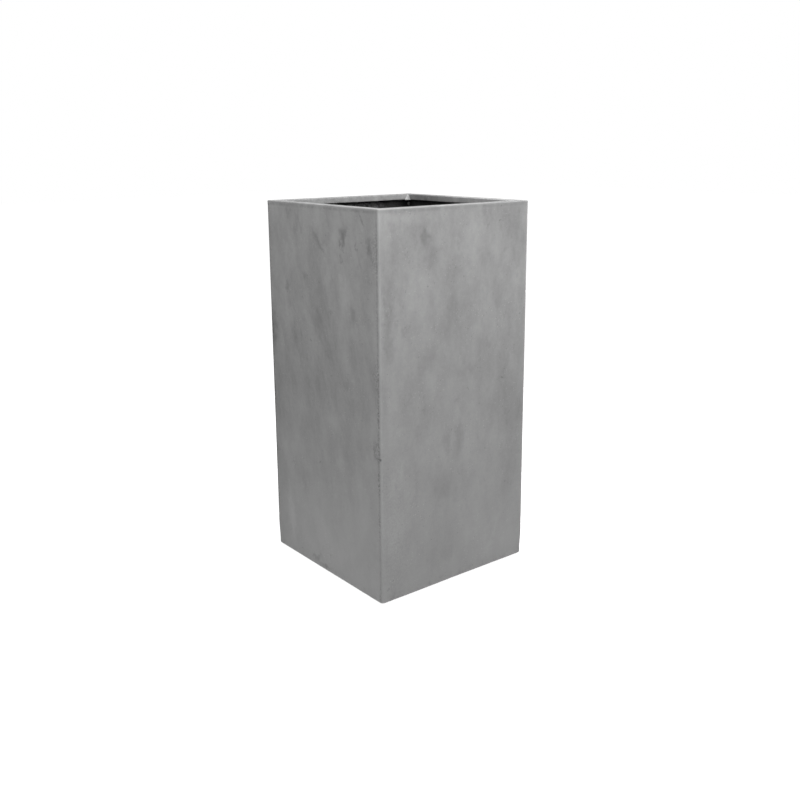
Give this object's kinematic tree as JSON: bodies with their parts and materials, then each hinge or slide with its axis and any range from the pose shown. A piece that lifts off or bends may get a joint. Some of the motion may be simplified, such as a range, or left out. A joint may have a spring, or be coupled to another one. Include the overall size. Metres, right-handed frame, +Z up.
{
  "type": "tall square planter",
  "caption": "Tall square planter of stone-faced fiberglass: plain upright walls, flat mitred rim with a short inner return, black laminate inside, drain hole with a lift-out plug.",
  "frame": {"origin": "on the floor, at the centre of the planter's footprint", "axes": "+Z up towards the open mouth; +X and +Y square to the walls, front is -Y"},
  "size_m": [0.4, 0.4, 0.8],
  "materials": {
    "stone_resin": "matt grey stone-filled resin, cloudy and hand rubbed",
    "putty": "pale filler, left rough",
    "laminate": "black chopped-strand glass laminate, uneven sheen",
    "black_rubber": "matt moulded rubber"
  },
  "bodies": {
    "planter": {"outer_shell": "stone_resin", "lip_front": "stone_resin", "lip_right": "stone_resin", "lip_back": "stone_resin", "lip_left": "stone_resin", "lip_corner_fillers": "putty", "glass_mat_front": "laminate", "glass_mat_right": "laminate", "glass_mat_back": "laminate", "glass_mat_left": "laminate", "glass_mat_base": "laminate", "corner_tape_front_left": "laminate", "corner_tape_front_right": "laminate", "corner_tape_back_right": "laminate", "corner_tape_back_left": "laminate", "base_tape": "laminate", "foot_pad_front_left": "black_rubber", "foot_pad_front_right": "black_rubber", "foot_pad_back_right": "black_rubber", "foot_pad_back_left": "black_rubber"},
    "plug": {"drain_plug": "black_rubber"}
  },
  "joints": [
    {"name": "plug_lift", "type": "slide", "parent": "planter", "child": "plug", "axis": [0, 0, 1], "range_m": [0, 0.03]}
  ]
}
